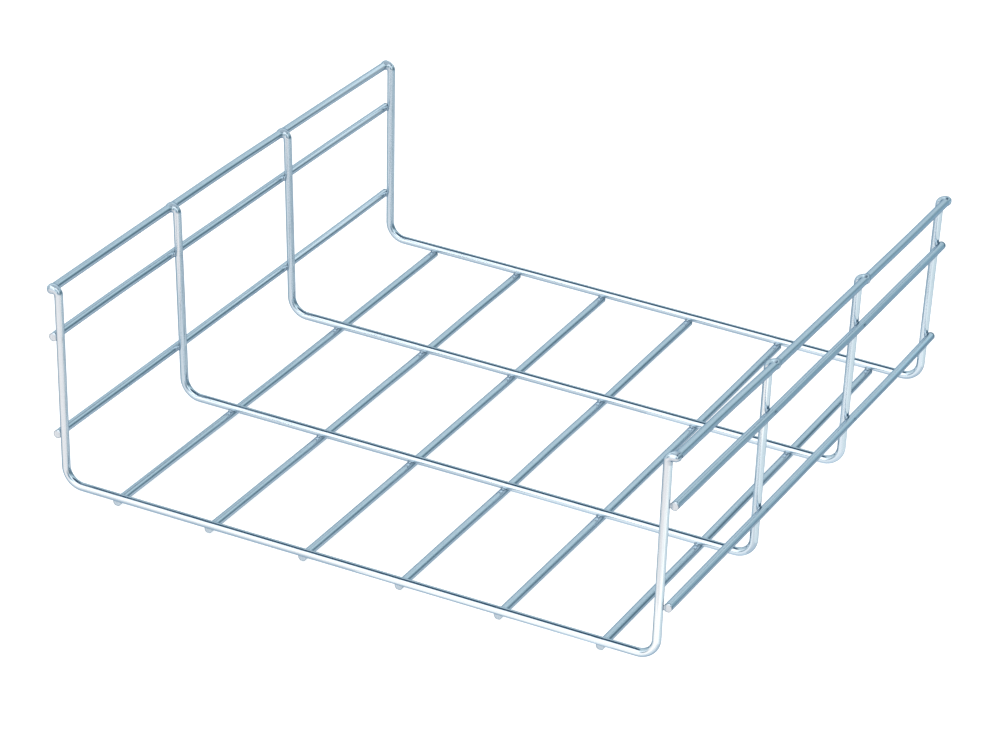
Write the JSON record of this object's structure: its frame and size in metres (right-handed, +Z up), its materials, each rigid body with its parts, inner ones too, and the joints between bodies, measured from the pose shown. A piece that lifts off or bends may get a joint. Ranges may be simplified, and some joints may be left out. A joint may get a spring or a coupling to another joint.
{
  "type": "cable tray",
  "caption": "Welded wire-mesh cable tray section: U-shaped cross wires with straight wires welded under and outside them, open at the top and both ends.",
  "frame": {"origin": "middle of the footprint, on the plane that the bottom wires rest on", "axes": "+X across the tray to its right wall, +Y along the tray from front to back, +Z up"},
  "size_m": [0.3182, 0.304, 0.1068],
  "materials": {
    "zinc_wire": "bright zinc-plated drawn wire, smooth satin",
    "weld_flash": "squeezed-out weld metal under the zinc plating, slightly duller"
  },
  "bodies": {
    "root": {"front_cross_wire": "zinc_wire", "front_middle_cross_wire": "zinc_wire", "back_middle_cross_wire": "zinc_wire", "back_cross_wire": "zinc_wire", "bottom_wire_1": "zinc_wire", "bottom_wire_2": "zinc_wire", "bottom_wire_3": "zinc_wire", "bottom_wire_4": "zinc_wire", "bottom_wire_5": "zinc_wire", "bottom_wire_6": "zinc_wire", "left_lower_wire": "zinc_wire", "left_middle_wire": "zinc_wire", "left_top_wire": "zinc_wire", "right_lower_wire": "zinc_wire", "right_middle_wire": "zinc_wire", "right_top_wire": "zinc_wire", "front_lap_flash": "weld_flash", "front_middle_lap_flash": "weld_flash", "back_middle_lap_flash": "weld_flash", "back_lap_flash": "weld_flash", "left_tee_flash": "weld_flash", "right_tee_flash": "weld_flash"}
  },
  "joints": []
}
